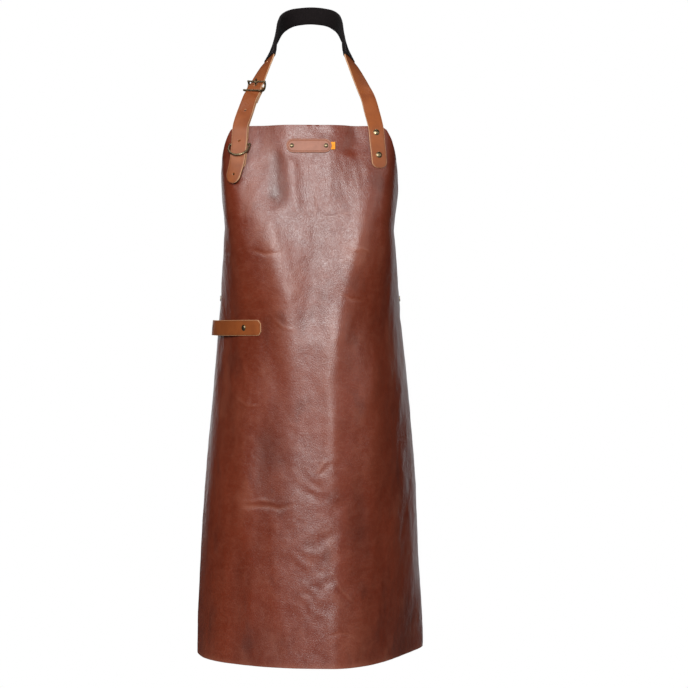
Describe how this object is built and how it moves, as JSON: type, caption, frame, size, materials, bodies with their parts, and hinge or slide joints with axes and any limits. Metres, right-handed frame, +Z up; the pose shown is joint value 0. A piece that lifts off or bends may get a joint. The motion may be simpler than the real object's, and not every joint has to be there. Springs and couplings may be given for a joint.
{
  "type": "leather bib apron",
  "caption": "Long leather bib apron with a buckled, padded neck strap, D-ring, towel loop, stitched label patch and a buckled waist strap across the back.",
  "frame": {"origin": "inside of the neck pad at its lower edge, at the nape, where a neck or a peg holds the apron up", "axes": "+Z up along the panel, -Y out of the apron's front, +X to the right seen from the front"},
  "size_m": [0.3754, 0.2881, 1.0809],
  "materials": {
    "panel_leather": "waxed red-brown pull-up leather, fine grain, soft sheen",
    "strap_leather": "smooth cognac bridle leather with pale cut edges",
    "patch_leather": "pale natural veg-tan leather, matt",
    "pad_fabric": "near-black woven sleeve, matt",
    "tab_ribbon": "amber woven ribbon",
    "thread": "dark waxed thread",
    "brass_hardware": "antique brass, brushed and darkened"
  },
  "bodies": {
    "root": {"apron_panel": "panel_leather", "neck_strap": "strap_leather", "neck_pad": "pad_fabric", "buckle_strap": "strap_leather", "neck_buckle_frame": "brass_hardware", "right_strap_rivets": "brass_hardware", "right_strap_burrs": "brass_hardware", "left_strap_rivets": "brass_hardware", "left_strap_burrs": "brass_hardware", "label_patch": "patch_leather", "patch_rivets": "brass_hardware", "patch_burrs": "brass_hardware", "side_tab": "tab_ribbon", "towel_loop": "strap_leather", "loop_rivets": "brass_hardware", "loop_burrs": "brass_hardware", "bar_tacks": "thread", "waist_strap_left": "strap_leather", "waist_strap_right": "strap_leather", "waist_buckle_frame": "brass_hardware", "waist_rivets": "brass_hardware", "waist_burrs": "brass_hardware"},
    "neck_prong": {"neck_buckle_prong": "brass_hardware"},
    "ring": {"d_ring": "brass_hardware"},
    "waist_prong": {"waist_buckle_prong": "brass_hardware"},
    "keeper": {"waist_keeper": "strap_leather"}
  },
  "joints": [
    {"name": "neck_prong_lift", "type": "hinge", "parent": "root", "child": "neck_prong", "pos_m": [-0.0855, -0.1365, -0.12799], "axis": [0.8719, -0.4826, -0.0828], "range_deg": [0, 10]},
    {"name": "ring_swing", "type": "hinge", "parent": "root", "child": "ring", "pos_m": [-0.10958, -0.17544, -0.22148], "axis": [-0.9634, 0.2679, 0], "range_deg": [0, 120]},
    {"name": "waist_prong_lift", "type": "hinge", "parent": "root", "child": "waist_prong", "pos_m": [-0.0133, 0.07557, -0.464], "axis": [0, 0, 1], "range_deg": [0, 10]},
    {"name": "keeper_slide", "type": "slide", "parent": "root", "child": "keeper", "axis": [0.9854, 0.1703, 0], "range_m": [-0.008, 0.008]}
  ]
}
